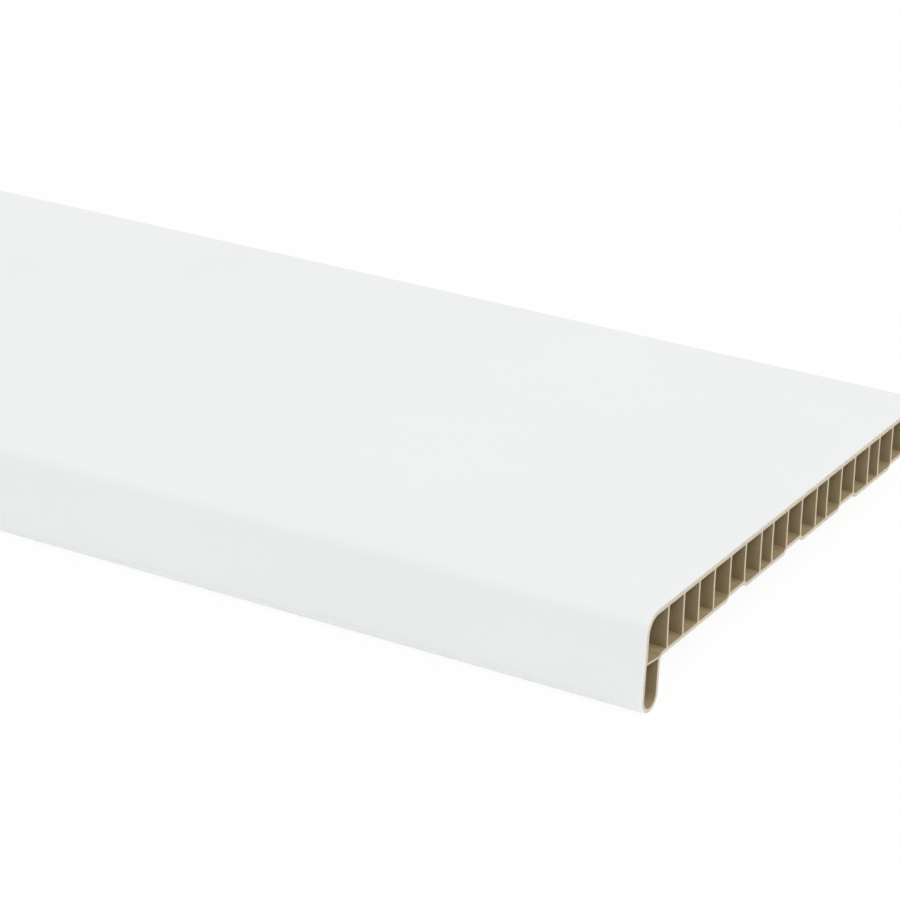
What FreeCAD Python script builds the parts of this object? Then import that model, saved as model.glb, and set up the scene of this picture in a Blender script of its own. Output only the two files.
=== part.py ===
import FreeCAD, Part
import math
import os

# Window sill board: a hollow PVC extrusion with a drop nose, faced with a white film.
# Millimetres. +X runs along the board, -Y is the room side with the nose, and +Z is up.
# The origin is under the middle of the board, at the height of the nose's lowest line.
# The section is drawn in Y and Z and extruded along the board, as the real one is.

# Overall sizes
LENGTH = 1000.0
DEPTH = 250.0
BOARD_THICKNESS = 20.6
NOSE_DROP = 19.7

# Front edge and nose
NOSE_WIDTH = 12.65
EDGE_RADIUS = 9.0
FRONT_LEAN_DEG = 3.3
NOSE_CORNER_RADIUS = 2.0

# Walls: thicker on the top and front, thinner in the underside, nose and back, with a thin film outside
TOP_WALL = 2.0
WALL = 1.6
WEB = 1.2
DIVIDER = 0.9
FILM = 0.2
CHAMBER_CORNER = 0.5

# The film's lower edge stops short of the nose's lowest line by this angle
FILM_STOP_DEG = 25.0

# Divider over the nose chamber: its height over the foot at the front wall, and its fall to the back
DIVIDER_RISE = 1.9
DIVIDER_FALL_DEG = 6.0

# Webs, front to back: equal cells, one more up to the first groove, then four cells to each groove pitch
FRONT_FLOOR = 2.75
FRONT_CELLS = 3
FRONT_CELL = 12.6
FIRST_GROOVE = 70.0
GROOVE_PITCH = 50.0
GROOVE_CELL = 12.8
WIDE_CELL = 13.7
NARROW_CELL = 10.4
LEAST_REAR_CELL = 8.0

# Trim grooves in the underside, where the board is cut to a smaller depth
GROOVE_DEPTH = 1.5
GROOVE_RUN = 2.2

# Levels and edges that the sizes give
FRONT_Y = -DEPTH / 2
BACK_Y = DEPTH / 2
FOOT_Z = NOSE_DROP
TOP_Z = FOOT_Z + BOARD_THICKNESS
TOP_INSIDE = FILM + TOP_WALL
INSIDE = FILM + WALL
CEILING_Z = TOP_Z - TOP_INSIDE

# Centres of the front edge's arcs. Film, wall and chamber are offsets round the same two centres.
LEAN = math.radians(FRONT_LEAN_DEG)
NOSE_RADIUS = (NOSE_WIDTH + FILM) / 2
NOSE_Y = FRONT_Y + NOSE_RADIUS
NOSE_Z = NOSE_RADIUS - FILM
EDGE_Z = TOP_Z - EDGE_RADIUS
EDGE_Y = NOSE_Y + (EDGE_RADIUS - NOSE_RADIUS + (EDGE_Z - NOSE_Z) * math.sin(LEAN)) / math.cos(LEAN)

# Hollow corner where the back of the nose, which leans with the front, turns into the underside
CORNER_Z = FOOT_Z - NOSE_CORNER_RADIUS
CORNER_REACH = NOSE_RADIUS - FILM + NOSE_CORNER_RADIUS
CORNER_Y = NOSE_Y + (CORNER_REACH + (CORNER_Z - NOSE_Z) * math.sin(LEAN)) / math.cos(LEAN)

# Directions on the section, in radians round from the back
UP = math.pi / 2
FACE_NORMAL = math.pi - LEAN
NOSE_END = 2 * math.pi - LEAN
DOWN = 3 * math.pi / 2
FILM_STOP = DOWN - math.radians(FILM_STOP_DEG)


def point(y, z):
    """A point of the section, on the board's left end."""
    return FreeCAD.Vector(-LENGTH / 2, y, z)


def polar(y, z, radius, angle):
    """The section point in one direction from the centre y, z."""
    return point(y + radius * math.cos(angle), z + radius * math.sin(angle))


def line(start, end):
    return Part.LineSegment(start, end).toShape()


def lines(points):
    return [line(start, end) for start, end in zip(points, points[1:])]


def arc(y, z, radius, first, last):
    """The arc round the centre y, z from one direction to another."""
    middle = (first + last) / 2
    return Part.Arc(*[polar(y, z, radius, angle) for angle in (first, middle, last)]).toShape()


def face_of(edges):
    """The flat face inside a closed run of edges."""
    return Part.Face(Part.Wire(Part.sortEdges(edges)[0]))


def rounded_face(corners, radius):
    """The flat face inside a closed outline of straight sides, with every corner rounded."""
    edges = []
    ends = []
    count = len(corners)
    for index in range(count):
        corner = corners[index]
        before = (corners[index - 1] - corner).normalize()
        after = (corners[(index + 1) % count] - corner).normalize()
        half = before.getAngle(after) / 2
        reach = radius / math.tan(half)
        inward = (before + after).normalize()
        middle = corner + inward * (radius / math.sin(half) - radius)
        start = corner + before * reach
        end = corner + after * reach
        edges.append(Part.Arc(start, middle, end).toShape())
        ends.append((start, end))
    for index in range(count):
        edges.append(line(ends[index - 1][1], ends[index][0]))
    return face_of(edges)


def extruded(face):
    return face.extrude(FreeCAD.Vector(LENGTH, 0, 0))


def face_line(offset, back_y, nose_stop):
    """The run from the back over the top, round the front edge and down round the nose.

    It lies at one offset under the outer surface, and stops at a direction on the nose.
    """
    edge = EDGE_RADIUS - offset
    nose = NOSE_RADIUS - offset
    top = line(point(back_y, TOP_Z - offset), polar(EDGE_Y, EDGE_Z, edge, UP))
    front = line(polar(EDGE_Y, EDGE_Z, edge, FACE_NORMAL), polar(NOSE_Y, NOSE_Z, nose, FACE_NORMAL))
    return [
        top,
        arc(EDGE_Y, EDGE_Z, edge, UP, FACE_NORMAL),
        front,
        arc(NOSE_Y, NOSE_Z, nose, FACE_NORMAL, nose_stop),
    ]


def web_places():
    """The middle of each web, front to back, for as many webs as the depth takes."""
    first_web = CORNER_Y + FRONT_FLOOR + WEB / 2
    places = [first_web + FRONT_CELL * index for index in range(FRONT_CELLS + 1)]
    last = BACK_Y - WALL - LEAST_REAR_CELL
    for start in groove_places():
        wide = start + GROOVE_CELL
        narrow = wide + WIDE_CELL
        places += [start, wide, narrow, narrow + NARROW_CELL]
    return [place for place in places if place < last]


def groove_places():
    """The front web of each trim groove that leaves a foot behind it."""
    room = DEPTH - WALL - LEAST_REAR_CELL - GROOVE_CELL - FIRST_GROOVE
    count = int(room // GROOVE_PITCH) + 1
    return [FRONT_Y + FIRST_GROOVE + GROOVE_PITCH * index for index in range(count)]


def underside():
    """The underside from the hollow corner to the back edge: feet, and grooves with sloping sides."""
    run = [(CORNER_Y, FOOT_Z)]
    for start in groove_places():
        end = start + GROOVE_CELL
        run += [
            (start - GROOVE_RUN, FOOT_Z),
            (start, FOOT_Z + GROOVE_DEPTH),
            (end, FOOT_Z + GROOVE_DEPTH),
            (end + GROOVE_RUN, FOOT_Z),
        ]
    return run + [(BACK_Y, FOOT_Z)]


def floor_between(front, back):
    """The chamber floor between two webs, one wall over the underside."""
    run = underside()
    floor = []
    for (y0, z0), (y1, z1) in zip(run, run[1:]):
        for edge in (front, back):
            if y0 <= edge < y1:
                floor.append((edge, z0 + (z1 - z0) * (edge - y0) / (y1 - y0)))
        if front < y1 < back:
            floor.append((y1, z1))
    return [point(y, z + WALL) for y, z in sorted(floor)]


def board_chambers():
    """The chambers behind the first web, one between each pair of webs and one at the back."""
    places = web_places()
    fronts = [place + WEB / 2 for place in places]
    backs = [place - WEB / 2 for place in places[1:]] + [BACK_Y - WALL]
    chambers = []
    for front, back in zip(fronts, backs):
        corners = floor_between(front, back) + [point(back, CEILING_Z), point(front, CEILING_Z)]
        chambers.append(rounded_face(corners, CHAMBER_CORNER))
    return chambers


def front_chambers():
    """The front chamber and the nose chamber: one bent cavity, with a sloping divider across it.

    The front chamber also keeps the thicker wall's distance from the face.
    """
    first_face = web_places()[0] - WEB / 2
    floor_z = FOOT_Z + WALL
    bend = NOSE_CORNER_RADIUS + WALL
    cavity = face_line(INSIDE, first_face, NOSE_END)
    cavity += [
        line(polar(NOSE_Y, NOSE_Z, NOSE_RADIUS - INSIDE, NOSE_END), polar(CORNER_Y, CORNER_Z, bend, FACE_NORMAL)),
        arc(CORNER_Y, CORNER_Z, bend, FACE_NORMAL, UP),
        line(point(CORNER_Y, floor_z), point(first_face, floor_z)),
        line(point(first_face, floor_z), point(first_face, TOP_Z - INSIDE)),
    ]
    front_z = FOOT_Z + DIVIDER_RISE
    fall = (CORNER_Y - FRONT_Y) * math.tan(math.radians(DIVIDER_FALL_DEG))
    outline = [
        point(FRONT_Y, front_z),
        point(CORNER_Y, front_z - fall),
        point(CORNER_Y, front_z - fall - DIVIDER),
        point(FRONT_Y, front_z - DIVIDER),
    ]
    divider = face_of(lines(outline + outline[:1]))
    nose, front = sorted(face_of(cavity).cut(divider).Faces, key=lambda face: face.CenterOfMass.z)
    under_wall = face_line(TOP_INSIDE, first_face, NOSE_END)
    nose_end = polar(NOSE_Y, NOSE_Z, NOSE_RADIUS - TOP_INSIDE, NOSE_END)
    under_wall += lines([nose_end, point(first_face, nose_end.z), point(first_face, CEILING_Z)])
    return [nose] + front.common(face_of(under_wall)).Faces


def hollow_profile():
    """The extruded board: outer section, less every chamber."""
    nose_back = line(
        polar(NOSE_Y, NOSE_Z, NOSE_RADIUS - FILM, NOSE_END),
        polar(CORNER_Y, CORNER_Z, NOSE_CORNER_RADIUS, FACE_NORMAL),
    )
    corner = arc(CORNER_Y, CORNER_Z, NOSE_CORNER_RADIUS, FACE_NORMAL, UP)
    below = lines([point(y, z) for y, z in underside()])
    rear = line(point(BACK_Y, FOOT_Z), point(BACK_Y, TOP_Z - FILM))
    outer = face_of(face_line(FILM, BACK_Y, NOSE_END) + [nose_back, corner] + below + [rear])
    section = outer.cut(board_chambers() + front_chambers())
    return extruded(section.Faces[0])


def face_film():
    """The white facing: a thin film over the top, the front edge and the front of the nose."""
    outer = face_line(0.0, BACK_Y, FILM_STOP)
    inner = face_line(FILM, BACK_Y, FILM_STOP)
    stop = line(
        polar(NOSE_Y, NOSE_Z, NOSE_RADIUS, FILM_STOP),
        polar(NOSE_Y, NOSE_Z, NOSE_RADIUS - FILM, FILM_STOP),
    )
    rear = line(point(BACK_Y, TOP_Z), point(BACK_Y, TOP_Z - FILM))
    return extruded(face_of(outer + inner + [stop, rear]))


os.makedirs("parts", exist_ok=True)
hollow_profile().exportStep("parts/hollow_profile.step")
face_film().exportStep("parts/face_film.step")
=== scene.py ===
import math

import bpy
import numpy as np
from bpy.props import FloatProperty, FloatVectorProperty, IntProperty, PointerProperty
from mathutils import Matrix, Vector
from mathutils.geometry import delaunay_2d_cdt


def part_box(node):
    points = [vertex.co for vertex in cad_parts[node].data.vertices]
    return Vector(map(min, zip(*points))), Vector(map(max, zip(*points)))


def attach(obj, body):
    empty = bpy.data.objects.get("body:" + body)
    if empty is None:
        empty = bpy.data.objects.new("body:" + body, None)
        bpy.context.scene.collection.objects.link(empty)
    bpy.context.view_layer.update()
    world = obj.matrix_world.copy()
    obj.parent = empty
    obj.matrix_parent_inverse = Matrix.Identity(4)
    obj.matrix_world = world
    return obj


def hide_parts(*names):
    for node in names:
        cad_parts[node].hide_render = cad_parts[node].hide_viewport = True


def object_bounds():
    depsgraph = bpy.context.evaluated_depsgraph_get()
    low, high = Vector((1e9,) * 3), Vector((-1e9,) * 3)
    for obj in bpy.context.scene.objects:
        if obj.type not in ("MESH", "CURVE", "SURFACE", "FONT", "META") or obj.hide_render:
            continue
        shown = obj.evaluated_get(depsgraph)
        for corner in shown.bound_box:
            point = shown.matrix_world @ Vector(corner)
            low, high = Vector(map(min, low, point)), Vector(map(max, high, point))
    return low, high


bl_info = {
    "name": "Window sill board",
    "version": (1, 0, 0),
    "blender": (4, 5, 0),
    "location": "View3D > Sidebar > Sill",
    "description": "A hollow window sill board with a drop nose and a white facing film",
    "category": "Object",
}

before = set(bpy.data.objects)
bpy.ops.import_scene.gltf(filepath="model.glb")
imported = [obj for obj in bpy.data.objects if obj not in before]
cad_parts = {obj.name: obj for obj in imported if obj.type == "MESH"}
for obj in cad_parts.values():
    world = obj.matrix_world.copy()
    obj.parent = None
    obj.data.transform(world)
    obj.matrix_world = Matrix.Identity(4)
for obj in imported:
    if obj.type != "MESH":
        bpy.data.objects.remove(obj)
CAD_LOW, CAD_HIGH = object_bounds()
FILM_LOW, FILM_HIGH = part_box("face_film")
PROFILE_LOW, PROFILE_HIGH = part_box("hollow_profile")

MM = 0.001
BODY = "root"

# Places of the two finishes in a piece's list of materials
EXTRUDED_SLOT = 0
SAWN_SLOT = 1

# Directions on the section, in radians round from the back edge
UP = math.pi / 2
DOWN = 3 * math.pi / 2

# Fineness of the meshes: steps round the arcs, support points beside them, and an outline's longest side
EDGE_STEPS = 40
NOSE_STEPS = 48
BEND_STEPS = 12
CORNER_STEPS = 6
SUPPORT = 0.4 * MM
WALL_STEP = 2.0 * MM
SHARP_ANGLE = math.radians(28.0)

# Net of the sawn ends: points closer than this are one, and the kind of net that leaves holes open
SAME_POINT = 0.0001 * MM
WITHOUT_HOLES = 2

# Sockets of a Mix node that mixes colours
MIX_SHARE = 0
MIX_FIRST = 6
MIX_SECOND = 7
MIX_RESULT = 2

# Camera: width of its sensor in millimetres, and the nearest that it sees
SENSOR_WIDTH = 36.0
NEAREST_SEEN = 10.0 * MM

# Light of the sky
WHITE = (1.0, 1.0, 1.0, 1.0)

# Finishes: noises are counted in grains to the metre, and a stretch draws them out along the board.
# A fade gives the two texture values that it runs between, and then what they become.
# A relief gives its height in metres, and then the strength that it shows with.
FINE_DETAIL = 3.0
PLAIN_DETAIL = 2.0
EVEN = (1.0, 1.0, 1.0)

# White film
FILM_CLOUDS = 9.0
FILM_CLOUD_FADE = (0.35, 0.65, 0.0, 1.0)
FILM_CLOUD_DIM = 0.985
FILM_GRAINS = 2600.0
FILM_GRAIN_RELIEF = (0.04 * MM, 0.25)
FILM_STREAKS = 700.0
FILM_STREAK_STRETCH = (0.01, 1.0, 1.0)
FILM_STREAK_RELIEF = (0.02 * MM, 0.2)
FILM_ROUGHNESS_FADE = (0.3, 0.7, 0.5, 0.6)
FILM_SPECULAR = 0.2

# Cream plastic as it leaves the die
DIE_LINES = 1500.0
DIE_LINE_STRETCH = (0.004, 1.0, 1.0)
DIE_LINE_FADE = (0.35, 0.7, 0.15, 0.5)
DIE_LINE_RELIEF = (0.06 * MM, 0.2)
CREAM_CLOUDS = 45.0
CREAM_CLOUD_STRETCH = (0.3, 1.0, 1.0)
CREAM_CLOUD_FADE = (0.4, 0.75, 0.0, 0.5)
# Painted shade: the chamber walls keep the darker cream, and towards the outer outline it fades to the plain
# skin cream
SHADE_TO_SKIN_FADE = (0.0, 1.0, 0.0, 0.85)
FLECKS = 900.0
FLECK_STRETCH = (0.4, 1.0, 1.0)
FLECK_FADE = (0.74, 0.82, 0.0, 0.5)
FLECK_DIM = 0.6
EXTRUDED_ROUGHNESS_FADE = (0.3, 0.7, 0.42, 0.56)
EXTRUDED_SPECULAR = 0.4

# Sawn ends, with arcs round the centre of the blade
SAW_WAVE = {"Scale": 190.0, "Distortion": 3.0, "Detail": 2.0, "Detail Scale": 2.0}
BLADE_BEFORE = 20.0 * MM
BLADE_BELOW = 160.0 * MM
SAW_ARC_FADE = (0.0, 1.0, 0.0, 0.7)
SAW_ARC_RELIEF = (0.06 * MM, 0.5)
SAW_PATCHES = 120.0
SAW_PATCH_FADE = (0.35, 0.6, 0.3, 1.0)
CRUMBS = 2200.0
CRUMB_FADE = (0.5, 0.8, 0.0, 0.6)
CRUMB_RELIEF = (0.05 * MM, 0.4)
SAWN_ROUGHNESS_FADE = (0.3, 0.7, 0.62, 0.8)
SAWN_SPECULAR = 0.3


def linear(red, green, blue):
    """Scene-linear colour of a display colour with channels from 0 to 255, by the sRGB curve."""
    display = np.array((red, green, blue)) / 255.0
    light = np.where(display <= 0.04045, display / 12.92, ((display + 0.055) / 1.055) ** 2.4)
    return tuple(float(channel) for channel in light)


def length_property(name, description, default):
    """A size in metres."""
    return FloatProperty(
        name=name,
        description=description,
        default=default,
        min=0.0,
        precision=4,
        subtype="DISTANCE",
        unit="LENGTH",
    )


def angle_property(name, description, degrees):
    """An angle, given in degrees and kept in radians."""
    return FloatProperty(name=name, description=description, default=math.radians(degrees), subtype="ANGLE")


def amount_property(name, description, default, unit="NONE"):
    """A number that isn't negative, with a unit where it has one."""
    return FloatProperty(name=name, description=description, default=default, min=0.0, unit=unit)


def colour_property(name, description, default):
    """A scene-linear colour."""
    return FloatVectorProperty(
        name=name, description=description, default=default, size=3, min=0.0, max=1.0, subtype="COLOR"
    )


class SillSizes(bpy.types.PropertyGroup):
    """Length of the board and sizes of its section, in metres."""

    length: length_property("Length", "Length of the board", FILM_HIGH.x - FILM_LOW.x)
    depth: length_property("Depth", "Front of the nose to the back edge", PROFILE_HIGH.y - FILM_LOW.y)
    height: length_property("Height", "Foot of the nose to the top face", FILM_HIGH.z - PROFILE_LOW.z)
    thickness: length_property("Board thickness", "Underside to top face, behind the nose", 20.6 * MM)
    nose_width: length_property("Nose width", "Thickness of the hanging nose", 12.65 * MM)
    edge_radius: length_property("Edge radius", "Round of the front top edge", 9.0 * MM)
    front_lean: angle_property("Front lean", "Lean of the front face, foot forward", 3.3)
    nose_corner: length_property("Nose corner", "Hollow corner behind the nose", 2.0 * MM)
    top_wall: length_property("Top wall", "Thickness of the wall under the top and front film", 2.0 * MM)
    wall: length_property("Wall", "Thickness of the underside, the nose and the back", 1.6 * MM)
    web: length_property("Web", "Thickness of the upright webs", 1.2 * MM)
    web_bow: length_property("Web bow", "How far the webs bow to the front", 0.2 * MM)
    film: length_property("Film", "Thickness of the facing film", 0.2 * MM)
    chamber_corner: length_property("Chamber corner", "Inner round of the chambers", 0.5 * MM)
    film_stop: angle_property("Film stop", "Where the film ends, short of the nose's lowest line", 25.0)
    divider: length_property("Divider", "Thickness of the divider over the nose chamber", 0.9 * MM)
    divider_rise: length_property("Divider rise", "Divider's height over the foot, at the front", 1.9 * MM)
    divider_fall: angle_property("Divider fall", "Slope of the divider over the nose chamber", 6.0)
    front_floor: length_property("Front floor", "Flat floor before the first web", 2.75 * MM)
    front_cells: IntProperty(
        name="Front cells", description="Equal chambers behind the first web", default=3, min=1
    )
    front_cell: length_property("Front cell", "Step of the equal chambers, web to web", 12.6 * MM)
    first_groove: length_property("First groove", "Front of the nose to the first trim groove", 70.0 * MM)
    groove_pitch: length_property("Groove pitch", "Step from one trim groove to the next", 50.0 * MM)
    groove_cell: length_property("Groove cell", "Chamber over a trim groove, web to web", 12.8 * MM)
    wide_cell: length_property("Wide cell", "First chamber behind a trim groove", 13.7 * MM)
    narrow_cell: length_property("Narrow cell", "Second chamber behind a trim groove", 10.4 * MM)
    least_rear_cell: length_property("Least rear cell", "Smallest chamber at the back edge", 8.0 * MM)
    groove_depth: length_property("Groove depth", "Depth of a trim groove", 1.5 * MM)
    groove_run: length_property("Groove run", "Run of a trim groove's sloping side", 2.2 * MM)


class SillColours(bpy.types.PropertyGroup):
    """Colours of the board's finishes and of the floor."""

    film: colour_property("Film", "White facing film", linear(239, 242, 241))
    # Painted shade: the chamber walls are a darker cream than the outside of the same plastic
    shaded_chamber_cream: colour_property("Extruded", "Cream of the chamber walls", linear(163, 148, 116))
    extruded_streak: colour_property("Streak", "Darker lines in the chamber walls", linear(150, 133, 100))
    extruded_skin: colour_property("Extruded skin", "Paler cream of the bare outside", linear(193, 182, 156))
    sawn: colour_property("Sawn", "Paler cream of the sawn webs", linear(196, 183, 155))
    sawn_rim: colour_property("Sawn rim", "Palest cream, at the sawn outer skin", linear(213, 210, 202))
    sawn_mark: colour_property("Saw mark", "Saw marks on the ends", linear(185, 172, 145))
    floor: colour_property("Floor", "Pale floor", linear(244, 244, 244))


class SillStage(bpy.types.PropertyGroup):
    """Camera, lamps and floor."""

    camera_out: length_property("Camera out", "Camera past the sawn end, along the board", 491.6 * MM)
    camera_before: length_property("Camera before", "Camera in front of the nose", 989.4 * MM)
    camera_over: length_property("Camera over", "Camera over the top face", 536.1 * MM)
    azimuth: angle_property("Azimuth", "Turn of the view round the board", 30.148)
    elevation: angle_property("Elevation", "View down on the board", 23.152)
    roll: angle_property("Roll", "Tilt of the picture", 1.24)
    lens: amount_property("Lens", "Focal length of the camera", 136.0, unit="CAMERA")
    lamp_distance: length_property("Lamp distance", "Sawn end to each lamp", 40.0)
    lamp_size: length_property("Lamp size", "Side of each square lamp", 16.0)
    high_elevation: angle_property("High elevation", "Height of the key and rear lamps over the floor", 55.0)
    low_elevation: angle_property("Low elevation", "Height of the front and back lamps over the floor", 22.0)
    front_azimuth: angle_property("Front azimuth", "Turn of the front lamp towards the sawn end", 0.0)
    front_power: amount_property("Front", "Power of the lamp before the nose", 2520.0, unit="POWER")
    key_azimuth: angle_property("Key azimuth", "Turn of the key lamp towards the sawn end", 60.0)
    key_power: amount_property("Key", "Power of the lamp before the sawn end", 7570.0, unit="POWER")
    rear_azimuth: angle_property("Rear azimuth", "Turn of the rear lamp towards the sawn end", 120.0)
    rear_power: amount_property("Rear", "Power of the lamp behind the sawn end", 5420.0, unit="POWER")
    back_azimuth: angle_property("Back azimuth", "Turn of the back lamp towards the sawn end", 180.0)
    back_power: amount_property("Back", "Power of the lamp behind the board", 1890.0, unit="POWER")
    sky: amount_property("Sky", "Strength of the even light all round", 0.25)
    table_glow: amount_property("Table glow", "Light that the floor gives off, as a lit table does", 0.184)
    floor_size: length_property("Floor size", "Side of the square floor", 14.0)
    floor_white: amount_property("Floor white", "Share of plain white in the floor, as seen", 0.94)


class Section:
    """Levels, centres and outlines of the board's section, as arrays of Y and Z in metres."""

    def __init__(self, sizes):
        self.sizes = sizes
        self.front_y = -sizes.depth / 2
        self.back_y = sizes.depth / 2
        self.top_z = sizes.height
        self.foot_z = sizes.height - sizes.thickness
        self.inside = sizes.film + sizes.wall
        self.top_inside = sizes.film + sizes.top_wall
        self.ceiling_z = self.top_z - self.top_inside
        self.face_normal = math.pi - sizes.front_lean
        self.nose_end = 2 * math.pi - sizes.front_lean
        self.nose_radius = (sizes.nose_width + sizes.film) / 2
        self.nose_y = self.front_y + self.nose_radius
        self.nose_z = self.nose_radius - sizes.film
        self.edge_z = self.top_z - sizes.edge_radius
        # The arcs of the edge and of the hollow corner touch the nose's leaning sides, which sets them in Y
        spread = sizes.edge_radius - self.nose_radius
        lift = (self.edge_z - self.nose_z) * math.sin(sizes.front_lean)
        self.edge_y = self.nose_y + (spread + lift) / math.cos(sizes.front_lean)
        self.corner_z = self.foot_z - sizes.nose_corner
        reach = self.nose_radius - sizes.film + sizes.nose_corner
        lift = (self.corner_z - self.nose_z) * math.sin(sizes.front_lean)
        self.corner_y = self.nose_y + (reach + lift) / math.cos(sizes.front_lean)

    def face_run(self, offset, back_y, nose_stop):
        """The face at one offset under the outer surface, from the back to a direction on the nose.

        A straight top, an arc round the edge centre, a straight front and an arc round the nose centre.
        Points close to the arcs keep the flats flat in shading.
        """
        edge_radius = self.sizes.edge_radius - offset
        nose_radius = self.nose_radius - offset
        edge = arc(self.edge_y, self.edge_z, edge_radius, UP, self.face_normal, EDGE_STEPS)
        nose = arc(self.nose_y, self.nose_z, nose_radius, self.face_normal, nose_stop, NOSE_STEPS)
        fall = (nose[0] - edge[-1]) / np.linalg.norm(nose[0] - edge[-1])
        return np.vstack([
            [[back_y, self.top_z - offset]],
            [edge[0] + (SUPPORT, 0.0)],
            edge,
            [edge[-1] + fall * SUPPORT, nose[0] - fall * SUPPORT],
            nose,
        ])

    def groove_places(self):
        """The front web of each trim groove that leaves a foot behind it."""
        sizes = self.sizes
        used = sizes.wall + sizes.least_rear_cell + sizes.groove_cell + sizes.first_groove
        count = int((sizes.depth - used) // sizes.groove_pitch) + 1
        return self.front_y + sizes.first_groove + sizes.groove_pitch * np.arange(count)

    def web_places(self):
        """The middle of each web: equal cells, one more up to the first groove, then four to each pitch."""
        sizes = self.sizes
        first_web = self.corner_y + sizes.front_floor + sizes.web / 2
        before = first_web + sizes.front_cell * np.arange(sizes.front_cells + 1)
        steps = np.cumsum([0.0, sizes.groove_cell, sizes.wide_cell, sizes.narrow_cell])
        behind = (self.groove_places()[:, None] + steps).ravel()
        places = np.concatenate([before, behind])
        return places[places < self.back_y - sizes.wall - sizes.least_rear_cell]

    def underside(self):
        """The underside from the hollow corner to the back edge: feet, and grooves with sloping sides."""
        sizes = self.sizes
        starts = self.groove_places()
        turns = np.array([-sizes.groove_run, 0.0, sizes.groove_cell, sizes.groove_cell + sizes.groove_run])
        rises = np.array([0.0, sizes.groove_depth, sizes.groove_depth, 0.0])
        y = (starts[:, None] + turns).ravel()
        z = self.foot_z + np.tile(rises, len(starts))
        return np.vstack([[self.corner_y, self.foot_z], np.column_stack([y, z]), [self.back_y, self.foot_z]])

    def corner_arc(self, radius):
        """The hollow corner where the back of the nose turns into the underside, or an offset of it."""
        return arc(self.corner_y, self.corner_z, radius, self.face_normal, UP, BEND_STEPS)

    def outer(self):
        """The outer outline of the profile under the film, counter-clockwise seen from the sawn end."""
        face = self.face_run(self.sizes.film, self.back_y, self.nose_end)
        return np.vstack([face, self.corner_arc(self.sizes.nose_corner), self.underside()[1:]])

    def chambers(self):
        """The chambers behind the first web: the floor follows the underside, one wall over it.

        Both sides of a chamber bow with their webs, apart from the straight back wall of the last one.
        """
        sizes = self.sizes
        webs = self.web_places()
        fronts = webs + sizes.web / 2
        backs = np.append(webs[1:] - sizes.web / 2, self.back_y - sizes.wall)
        back_shares = np.append(np.ones(len(webs) - 1), 0.0)
        run = self.underside()
        outlines = []
        for front, back, back_share in zip(fronts, backs, back_shares):
            inner = run[(run[:, 0] > front) & (run[:, 0] < back), 0]
            floor_y = np.concatenate([[front], inner, [back]])
            floor_z = np.interp(floor_y, run[:, 0], run[:, 1]) + sizes.wall
            floor = np.column_stack([floor_y, floor_z])
            corners = np.vstack([floor, [back, self.ceiling_z], [front, self.ceiling_z]])
            outline = divided(rounded(corners, sizes.chamber_corner))
            outlines.append(self.bowed(outline, 1.0, back_share))
        return outlines

    def front_chambers(self):
        """The front chamber and the nose chamber, over and under the sloping divider.

        Both are cut from the bent hollow behind the face; the front one lies under the thicker wall.
        """
        sizes = self.sizes
        first_face = self.web_places()[0] - sizes.web / 2
        floor = np.array([[first_face, self.foot_z + sizes.wall]])
        corner = self.corner_arc(sizes.nose_corner + sizes.wall)
        hollows = []
        for inside in (self.top_inside, self.inside):
            face = self.face_run(inside, first_face, self.nose_end)
            hollows.append(divided(np.vstack([face, corner, floor])))
        over, under = (hollow[:, 1] - self.divider_top(hollow[:, 0]) for hollow in hollows)
        front = self.bowed(clipped(hollows[0], over), 0.0, 1.0)
        nose = clipped(hollows[1], -sizes.divider - under)
        return [front, nose]

    def divider_top(self, y):
        """Height of the divider's upper face, which falls to the back."""
        return self.foot_z + self.sizes.divider_rise - (y - self.front_y) * math.tan(self.sizes.divider_fall)

    def bowed(self, outline, front_share, back_share):
        """A chamber whose web faces bow to the front: a parabola over the height, shared front to back."""
        middle = (self.ceiling_z + self.foot_z + self.sizes.wall) / 2
        half = self.ceiling_z - middle
        swell = np.clip(1.0 - ((outline[:, 1] - middle) / half) ** 2, 0.0, 1.0)
        low, high = outline[:, 0].min(), outline[:, 0].max()
        share = np.interp(outline[:, 0], [low, high], [front_share, back_share])
        return outline - np.column_stack([self.sizes.web_bow * swell * share, np.zeros(len(outline))])


def arc(y, z, radius, first, last, steps):
    """Points on the circle round y, z, evenly spaced from one direction to another."""
    turn = np.linspace(first, last, steps + 1)
    return np.column_stack([y + radius * np.cos(turn), z + radius * np.sin(turn)])


def rounded(corners, radius):
    """A closed outline whose corners are arcs, each turned from one side's tangent point to the next one's.

    A point of the arc is the centre plus the two end directions, weighted by the sines of the turn's parts.
    """
    before = np.roll(corners, 1, axis=0) - corners
    after = np.roll(corners, -1, axis=0) - corners
    before /= np.linalg.norm(before, axis=1, keepdims=True)
    after /= np.linalg.norm(after, axis=1, keepdims=True)
    half = np.arccos((before * after).sum(axis=1)) / 2
    inward = (before + after) / np.linalg.norm(before + after, axis=1, keepdims=True)
    centre = corners + inward * (radius / np.sin(half))[:, None]
    reach = (radius / np.tan(half))[:, None]
    start = corners + before * reach - centre
    end = corners + after * reach - centre
    turn = (math.pi - 2 * half)[:, None, None]
    part = np.linspace(0.0, 1.0, CORNER_STEPS + 1)[None, :, None]
    swing = np.sin((1 - part) * turn) * start[:, None] + np.sin(part * turn) * end[:, None]
    return (centre[:, None] + swing / np.sin(turn)).reshape(-1, 2)


def divided(outline):
    """A closed outline with its long sides split evenly, so that no side is longer than the wall step."""
    ahead = np.roll(outline, -1, axis=0)
    counts = np.maximum(1, np.ceil(np.linalg.norm(ahead - outline, axis=1) / WALL_STEP)).astype(int)
    side = np.repeat(np.arange(len(outline)), counts)
    first = np.repeat(np.cumsum(counts) - counts, counts)
    part = (np.arange(counts.sum()) - first) / counts[side]
    return outline[side] + (ahead - outline)[side] * part[:, None]


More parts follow.
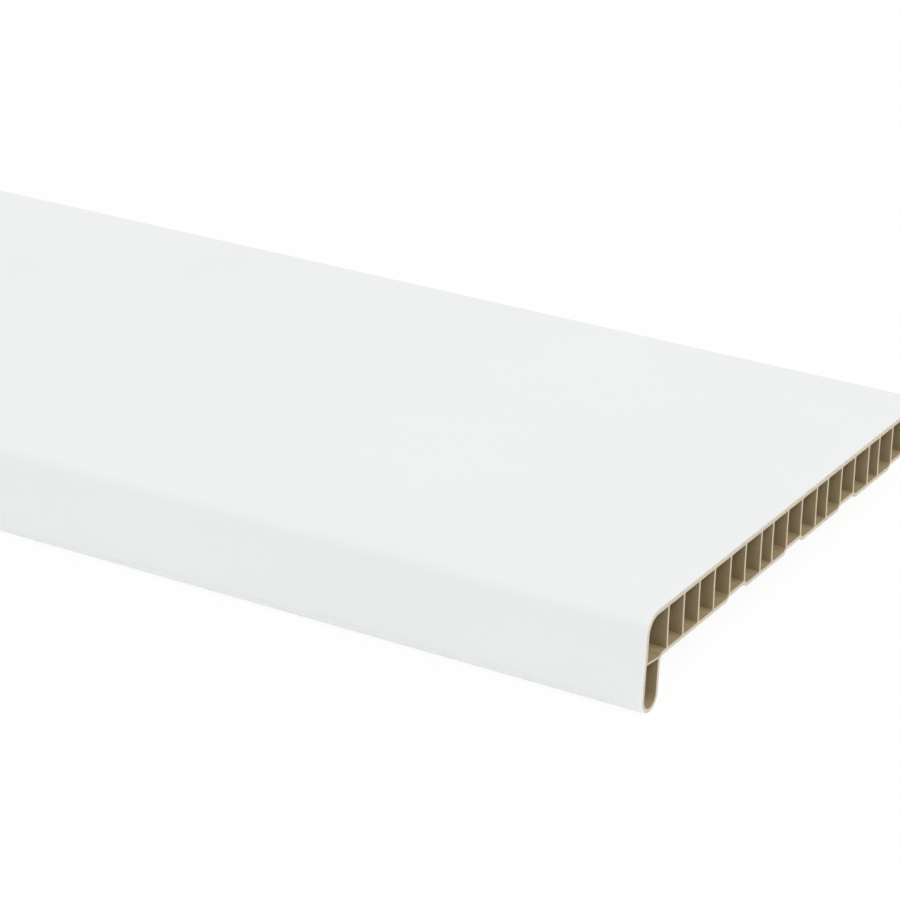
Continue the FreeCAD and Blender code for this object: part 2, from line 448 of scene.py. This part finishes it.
def clipped(outline, height):
    """The part of a closed outline where height is positive, closed along the line where it is zero."""
    ahead = np.roll(outline, -1, axis=0)
    ahead_height = np.roll(height, -1)
    crossing = height * ahead_height < 0
    part = height / np.where(crossing, height - ahead_height, 1.0)
    cut = outline + (ahead - outline) * part[:, None]
    both = np.stack([outline, cut], axis=1).reshape(-1, 2)
    keep = np.stack([height > 0, crossing], axis=1).ravel()
    return both[keep]


def counter_clockwise(outline):
    """The outline, turned round if its area comes out negative."""
    ahead = np.roll(outline, -1, axis=0)
    area = (outline[:, 0] * ahead[:, 1] - ahead[:, 0] * outline[:, 1]).sum()
    return outline if area > 0 else outline[::-1]


def carried(outline, ends, first_index):
    """An outline carried along the board between two ends: its points at each end, and the sides between.

    Seen from the sawn end, the sides face right of the outline's direction: out of a counter-clockwise one.
    """
    count = len(outline)
    places = np.repeat(ends, count)
    points = np.column_stack([places, np.tile(outline, (2, 1))])
    here = np.arange(count)
    following = np.roll(here, -1)
    sides = np.column_stack([here, following, following + count, here + count]) + first_index
    return points, sides


def end_faces(outlines):
    """Triangles of the section between its outlines, counter-clockwise, numbered over all outlines in turn.

    A Delaunay net over all the points, which keeps the outlines' sides as edges and leaves the holes open.
    """
    points = [Vector(point) for point in np.vstack(outlines).tolist()]
    stops = np.cumsum([len(outline) for outline in outlines]).tolist()
    loops = [list(range(first, last)) for first, last in zip([0] + stops, stops)]
    loops[1:] = [hole[::-1] for hole in loops[1:]]
    triangles, origins = delaunay_2d_cdt(points, [], loops, WITHOUT_HOLES, SAME_POINT)[2:4]
    numbers = np.array([sources[0] for sources in origins])
    return numbers[np.array(triangles)]


def board_mesh(name, outlines, ends):
    """A closed board: every outline carried along it, and the section between them filled at both ends.

    The first outline is the outer one, counter-clockwise; the others are holes, clockwise.
    Its attribute rim is 1 on the outer outline and 0 round the holes, so it fades through the outer walls;
    the cream finish uses it to keep the painted shade of the chamber walls off the outside.
    """
    points, sides, left, right = [], [], [], []
    total = 0
    for outline in outlines:
        ring, quads = carried(outline, ends, total)
        points.append(ring)
        sides.append(quads)
        left.append(np.arange(len(outline)) + total)
        right.append(np.arange(len(outline)) + total + len(outline))
        total += len(ring)
    triangles = end_faces(outlines)
    right_faces = np.concatenate(right)[triangles]
    left_faces = np.concatenate(left)[triangles][:, ::-1]
    sides = np.vstack(sides)
    faces = sides.tolist() + right_faces.tolist() + left_faces.tolist()
    mesh = bpy.data.meshes.new(name)
    mesh.from_pydata(np.vstack(points).tolist(), [], faces)
    slots = np.full(len(mesh.polygons), SAWN_SLOT, dtype=np.int32)
    slots[:len(sides)] = EXTRUDED_SLOT
    mesh.polygons.foreach_set("material_index", slots)
    rim = np.zeros(total, dtype=np.float32)
    rim[:len(points[0])] = 1.0
    mesh.attributes.new("rim", "FLOAT", "POINT").data.foreach_set("value", rim)
    mesh.shade_smooth()
    mesh.set_sharp_from_angle(angle=SHARP_ANGLE)
    mesh.validate()
    return mesh


def place(mesh, materials, node):
    """Put a piece at the origin, riding on the body, in the place of a node of the frame."""
    piece = bpy.data.objects.new(mesh.name, mesh)
    bpy.context.scene.collection.objects.link(piece)
    for material in materials:
        mesh.materials.append(material)
    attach(piece, BODY)
    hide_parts(node)


class Finish:
    """A procedural material, with short calls for the textures that the finishes share."""

    def __init__(self, name, specular):
        self.material = bpy.data.materials.new(name)
        self.material.use_nodes = True
        self.tree = self.material.node_tree
        self.shader = self.tree.nodes["Principled BSDF"]
        self.shader.inputs["Specular IOR Level"].default_value = specular
        self.where = self.tree.nodes.new("ShaderNodeTexCoord").outputs["Object"]

    def add(self, kind, **settings):
        """A new node, with some of its settings."""
        node = self.tree.nodes.new(kind)
        for name, value in settings.items():
            setattr(node, name, value)
        return node

    def link(self, output, node, name):
        """Link an output to a node's input, given by its name or number."""
        self.tree.links.new(output, node.inputs[name])

    def mapped(self, scale=EVEN, location=(0.0, 0.0, 0.0)):
        """Object coordinates, scaled and then moved."""
        node = self.add("ShaderNodeMapping")
        node.inputs["Scale"].default_value = scale
        node.inputs["Location"].default_value = location
        self.link(self.where, node, "Vector")
        return node.outputs["Vector"]

    def noise(self, grains, stretch=EVEN, detail=PLAIN_DETAIL):
        """Soft noise with about so many grains to the metre, stretched along the board if asked."""
        node = self.add("ShaderNodeTexNoise")
        node.inputs["Scale"].default_value = grains
        node.inputs["Detail"].default_value = detail
        self.link(self.mapped(stretch), node, "Vector")
        return node.outputs["Fac"]

    def saw_arcs(self):
        """Rings round the blade's centre, which lies before and below the middle of the board."""
        node = self.add("ShaderNodeTexWave", wave_type="RINGS", rings_direction="X")
        for name, value in SAW_WAVE.items():
            node.inputs[name].default_value = value
        self.link(self.mapped(location=(0.0, BLADE_BEFORE, BLADE_BELOW)), node, "Vector")
        return node.outputs["Fac"]

    def attribute(self, name):
        """A value that the mesh carries on its points."""
        return self.add("ShaderNodeAttribute", attribute_name=name).outputs["Fac"]

    def faded(self, value, low, high, to_low, to_high):
        """A value stretched from one range to another."""
        node = self.add("ShaderNodeMapRange")
        for name, number in (("From Min", low), ("From Max", high), ("To Min", to_low), ("To Max", to_high)):
            node.inputs[name].default_value = number
        self.link(value, node, "Value")
        return node.outputs["Result"]

    def mixed(self, share, first, second):
        """A colour between two, each a fixed colour or another node's output."""
        node = self.add("ShaderNodeMix", data_type="RGBA")
        self.link(share, node, MIX_SHARE)
        for socket, colour in ((MIX_FIRST, first), (MIX_SECOND, second)):
            if isinstance(colour, bpy.types.NodeSocket):
                self.link(colour, node, socket)
            else:
                node.inputs[socket].default_value = (*colour, 1.0)
        return node.outputs[MIX_RESULT]

    def bump(self, texture, height, strength, under=None):
        """Relief of a height, laid over another relief if one is given."""
        node = self.add("ShaderNodeBump")
        node.inputs["Distance"].default_value = height
        node.inputs["Strength"].default_value = strength
        self.link(texture, node, "Height")
        if under is not None:
            self.link(under, node, "Normal")
        return node.outputs["Normal"]

    def finished(self, colour, roughness, relief):
        """The material, with its textures on the shader."""
        self.link(colour, self.shader, "Base Color")
        self.link(roughness, self.shader, "Roughness")
        self.link(relief, self.shader, "Normal")
        return self.material


def darker(colour, share):
    """A colour with every channel brought down to a share of it."""
    return tuple(share * channel for channel in colour)


def film_finish(colours):
    """Satin white film: a fine even grain, faint streaks along the board and a very slight cloudiness."""
    finish = Finish("white_film", FILM_SPECULAR)
    cloud = finish.noise(FILM_CLOUDS, detail=FINE_DETAIL)
    grain = finish.noise(FILM_GRAINS, detail=FINE_DETAIL)
    streak = finish.noise(FILM_STREAKS, FILM_STREAK_STRETCH)
    dim = darker(colours.film, FILM_CLOUD_DIM)
    clouded = finish.mixed(finish.faded(cloud, *FILM_CLOUD_FADE), dim, colours.film)
    roughness = finish.faded(streak, *FILM_ROUGHNESS_FADE)
    fine = finish.bump(grain, *FILM_GRAIN_RELIEF)
    streaked = finish.bump(streak, *FILM_STREAK_RELIEF, under=fine)
    return finish.finished(clouded, roughness, streaked)


def extruded_finish(colours):
    """Cream plastic as it leaves the die: lines along the board, a cloudy mix and a few brown flecks.

    The chamber walls are painted a darker cream than the outside, as painted shade in the chambers; the
    outside has the plain cream of the plastic.
    """
    finish = Finish("cream_extruded_painted_shade", EXTRUDED_SPECULAR)
    lines = finish.noise(DIE_LINES, DIE_LINE_STRETCH, FINE_DETAIL)
    cloud = finish.noise(CREAM_CLOUDS, CREAM_CLOUD_STRETCH, FINE_DETAIL)
    fleck = finish.noise(FLECKS, FLECK_STRETCH)
    streak = colours.extruded_streak
    streaked = finish.mixed(finish.faded(lines, *DIE_LINE_FADE), colours.shaded_chamber_cream, streak)
    clouded = finish.mixed(finish.faded(cloud, *CREAM_CLOUD_FADE), streaked, streak)
    # Painted shade: away from the outer outline the walls keep the darker cream
    outside = finish.faded(finish.attribute("rim"), *SHADE_TO_SKIN_FADE)
    skinned = finish.mixed(outside, clouded, colours.extruded_skin)
    flecked = finish.mixed(finish.faded(fleck, *FLECK_FADE), skinned, darker(streak, FLECK_DIM))
    roughness = finish.faded(lines, *EXTRUDED_ROUGHNESS_FADE)
    return finish.finished(flecked, roughness, finish.bump(lines, *DIE_LINE_RELIEF))


def sawn_finish(colours):
    """The sawn section: matt, paler towards the outer skin, with close arcs and crumbs from the blade."""
    finish = Finish("cream_sawn", SAWN_SPECULAR)
    arcs = finish.saw_arcs()
    crumb = finish.noise(CRUMBS, detail=FINE_DETAIL)
    patch = finish.noise(SAW_PATCHES)
    wall = finish.mixed(finish.attribute("rim"), colours.sawn, colours.sawn_rim)
    marked = finish.mixed(finish.faded(arcs, *SAW_ARC_FADE), wall, colours.sawn_mark)
    patchy = finish.mixed(finish.faded(patch, *SAW_PATCH_FADE), wall, marked)
    crumbed = finish.mixed(finish.faded(crumb, *CRUMB_FADE), patchy, colours.sawn_rim)
    roughness = finish.faded(crumb, *SAWN_ROUGHNESS_FADE)
    rough = finish.bump(crumb, *CRUMB_RELIEF)
    return finish.finished(crumbed, roughness, finish.bump(arcs, *SAW_ARC_RELIEF, under=rough))


class SILL_OT_hollow_profile(bpy.types.Operator):
    """Make the hollow cream profile: outer walls, webs, divider and open chambers"""

    bl_idname = "sill.hollow_profile"
    bl_label = "Hollow profile"

    def execute(self, context):
        sizes = context.scene.sill_sizes
        colours = context.scene.sill_colours
        section = Section(sizes)
        holes = section.front_chambers() + section.chambers()
        outlines = [counter_clockwise(divided(section.outer()))]
        outlines += [counter_clockwise(hole)[::-1] for hole in holes]
        ends = np.array([-sizes.length / 2, sizes.length / 2])
        mesh = board_mesh("sill_hollow_profile", outlines, ends)
        place(mesh, [extruded_finish(colours), sawn_finish(colours)], "hollow_profile")
        return {"FINISHED"}


class SILL_OT_face_film(bpy.types.Operator):
    """Make the white film over the top, the front edge and the front of the nose"""

    bl_idname = "sill.face_film"
    bl_label = "Facing film"

    def execute(self, context):
        sizes = context.scene.sill_sizes
        section = Section(sizes)
        stop = DOWN - sizes.film_stop
        outer = section.face_run(0.0, section.back_y, stop)
        inner = section.face_run(sizes.film, section.back_y, stop)
        outline = counter_clockwise(np.vstack([outer, inner[::-1]]))
        ends = np.array([-sizes.length / 2, sizes.length / 2])
        mesh = board_mesh("sill_face_film", [outline], ends)
        white = film_finish(context.scene.sill_colours)
        place(mesh, [white, white], "face_film")
        return {"FINISHED"}


def view_axes(azimuth, elevation, roll=0.0):
    """Right, up and back of a camera or lamp that is turned round the board, raised and rolled."""
    right = np.array([math.cos(azimuth), math.sin(azimuth), 0.0])
    level = math.cos(elevation)
    back = np.array([math.sin(azimuth) * level, -math.cos(azimuth) * level, math.sin(elevation)])
    up = np.cross(back, right)
    rolled_right = right * math.cos(roll) + up * math.sin(roll)
    rolled_up = up * math.cos(roll) - right * math.sin(roll)
    return rolled_right, rolled_up, back


def standing(axes, position):
    """The matrix whose columns are the right, up and back directions and the position."""
    matrix = np.eye(4)
    matrix[:3] = np.column_stack([*axes, position])
    return Matrix(matrix.tolist())


def add_camera(stage):
    """The camera, placed from the sawn end's front top corner."""
    data = bpy.data.cameras.new("sill_camera")
    data.lens = stage.lens
    data.sensor_width = SENSOR_WIDTH
    data.clip_start = NEAREST_SEEN
    camera = bpy.data.objects.new("sill_camera", data)
    corner = np.array([CAD_HIGH.x, CAD_LOW.y, CAD_HIGH.z])
    away = np.array([stage.camera_out, -stage.camera_before, stage.camera_over])
    camera.matrix_world = standing(view_axes(stage.azimuth, stage.elevation, stage.roll), corner + away)
    bpy.context.scene.collection.objects.link(camera)
    bpy.context.scene.camera = camera


def add_lamp(name, stage, azimuth, elevation, power):
    """A square soft lamp that faces the sawn end, far off so that its light is even along the board."""
    data = bpy.data.lights.new(name, "AREA")
    data.size = stage.lamp_size
    data.energy = power
    lamp = bpy.data.objects.new(name, data)
    right, up, back = view_axes(azimuth, elevation)
    sawn_end = np.array([CAD_HIGH.x, 0.0, 0.0])
    lamp.matrix_world = standing((right, up, back), sawn_end + stage.lamp_distance * back)
    bpy.context.scene.collection.objects.link(lamp)


def seen_directly(tree):
    """1 for rays from the camera, and for the mirror and glass rays that should see what it sees."""
    path = tree.nodes.new("ShaderNodeLightPath")
    total = path.outputs["Is Camera Ray"]
    for name in ("Is Glossy Ray", "Is Transmission Ray"):
        larger = tree.nodes.new("ShaderNodeMath")
        larger.operation = "MAXIMUM"
        tree.links.new(total, larger.inputs[0])
        tree.links.new(path.outputs[name], larger.inputs[1])
        total = larger.outputs[0]
    return total


def set_sky(strength):
    """Even light all round, seen as plain white."""
    world = bpy.data.worlds.new("sill_sky")
    world.use_nodes = True
    tree = world.node_tree
    light = tree.nodes["Background"]
    light.inputs["Color"].default_value = WHITE
    light.inputs["Strength"].default_value = strength
    white = tree.nodes.new("ShaderNodeBackground")
    white.inputs["Color"].default_value = WHITE
    mix = tree.nodes.new("ShaderNodeMixShader")
    tree.links.new(seen_directly(tree), mix.inputs[0])
    tree.links.new(light.outputs[0], mix.inputs[1])
    tree.links.new(white.outputs[0], mix.inputs[2])
    tree.links.new(mix.outputs[0], tree.nodes["World Output"].inputs["Surface"])
    bpy.context.scene.world = world


def floor_finish(colour, white_share, table_glow):
    """A pale floor, lit from within like a table for small goods.

    It is seen as mostly plain white, and still takes the board's shadow.
    """
    material = bpy.data.materials.new("pale_floor")
    material.use_nodes = True
    tree = material.node_tree
    tree.nodes.remove(tree.nodes["Principled BSDF"])
    matt = tree.nodes.new("ShaderNodeBsdfDiffuse")
    matt.inputs["Color"].default_value = (*colour, 1.0)
    white = tree.nodes.new("ShaderNodeEmission")
    seen = tree.nodes.new("ShaderNodeMixShader")
    seen.inputs[0].default_value = white_share
    tree.links.new(matt.outputs[0], seen.inputs[1])
    tree.links.new(white.outputs[0], seen.inputs[2])
    glow = tree.nodes.new("ShaderNodeEmission")
    glow.inputs["Strength"].default_value = table_glow
    lit = tree.nodes.new("ShaderNodeAddShader")
    tree.links.new(matt.outputs[0], lit.inputs[0])
    tree.links.new(glow.outputs[0], lit.inputs[1])
    mix = tree.nodes.new("ShaderNodeMixShader")
    tree.links.new(seen_directly(tree), mix.inputs[0])
    tree.links.new(lit.outputs[0], mix.inputs[1])
    tree.links.new(seen.outputs[0], mix.inputs[2])
    tree.links.new(mix.outputs[0], tree.nodes["Material Output"].inputs["Surface"])
    return material


def add_floor(stage, colour):
    """A flat square floor at the height of the nose's lowest line."""
    half = stage.floor_size / 2
    corners = np.array([[-1, -1], [1, -1], [1, 1], [-1, 1]]) * half
    points = np.column_stack([corners, np.full(len(corners), CAD_LOW.z)])
    mesh = bpy.data.meshes.new("pale_floor")
    mesh.from_pydata(points.tolist(), [], [[0, 1, 2, 3]])
    mesh.materials.append(floor_finish(colour, stage.floor_white, stage.table_glow))
    floor = bpy.data.objects.new("pale_floor", mesh)
    bpy.context.scene.collection.objects.link(floor)


class SILL_OT_stage(bpy.types.Operator):
    """Set the camera, the soft lamps, the even sky and the pale floor"""

    bl_idname = "sill.stage"
    bl_label = "Stage"

    def execute(self, context):
        stage = context.scene.sill_stage
        context.scene.view_settings.view_transform = "Standard"
        add_camera(stage)
        add_lamp("front_lamp", stage, stage.front_azimuth, stage.low_elevation, stage.front_power)
        add_lamp("key_lamp", stage, stage.key_azimuth, stage.high_elevation, stage.key_power)
        add_lamp("rear_lamp", stage, stage.rear_azimuth, stage.high_elevation, stage.rear_power)
        add_lamp("back_lamp", stage, stage.back_azimuth, stage.low_elevation, stage.back_power)
        set_sky(stage.sky)
        add_floor(stage, context.scene.sill_colours.floor)
        return {"FINISHED"}


class SILL_PT_sidebar(bpy.types.Panel):
    """Sidebar list of the board's pieces, sizes and colours, and of the stage"""

    bl_idname = "SILL_PT_sidebar"
    bl_label = "Window sill board"
    bl_space_type = "VIEW_3D"
    bl_region_type = "UI"
    bl_category = "Sill"

    def draw(self, context):
        for operator in OPERATORS:
            self.layout.operator(operator.bl_idname)
        for group in (context.scene.sill_sizes, context.scene.sill_colours, context.scene.sill_stage):
            box = self.layout.box()
            for name in group.bl_rna.properties.keys():
                if name not in ("name", "rna_type"):
                    box.prop(group, name)


GROUPS = {"sill_sizes": SillSizes, "sill_colours": SillColours, "sill_stage": SillStage}
OPERATORS = (SILL_OT_hollow_profile, SILL_OT_face_film, SILL_OT_stage)
CLASSES = (*GROUPS.values(), *OPERATORS, SILL_PT_sidebar)


def register():
    """Add the classes to Blender, and one group of each kind to the scene."""
    for cls in CLASSES:
        bpy.utils.register_class(cls)
    for name, group in GROUPS.items():
        setattr(bpy.types.Scene, name, PointerProperty(type=group))


def unregister():
    """Take the groups and classes out again."""
    for name in GROUPS:
        delattr(bpy.types.Scene, name)
    for cls in reversed(CLASSES):
        bpy.utils.unregister_class(cls)


def main():
    """Make the pieces and the stage."""
    register()
    bpy.ops.sill.hollow_profile()
    bpy.ops.sill.face_film()
    bpy.ops.sill.stage()


if __name__ == "__main__":
    main()
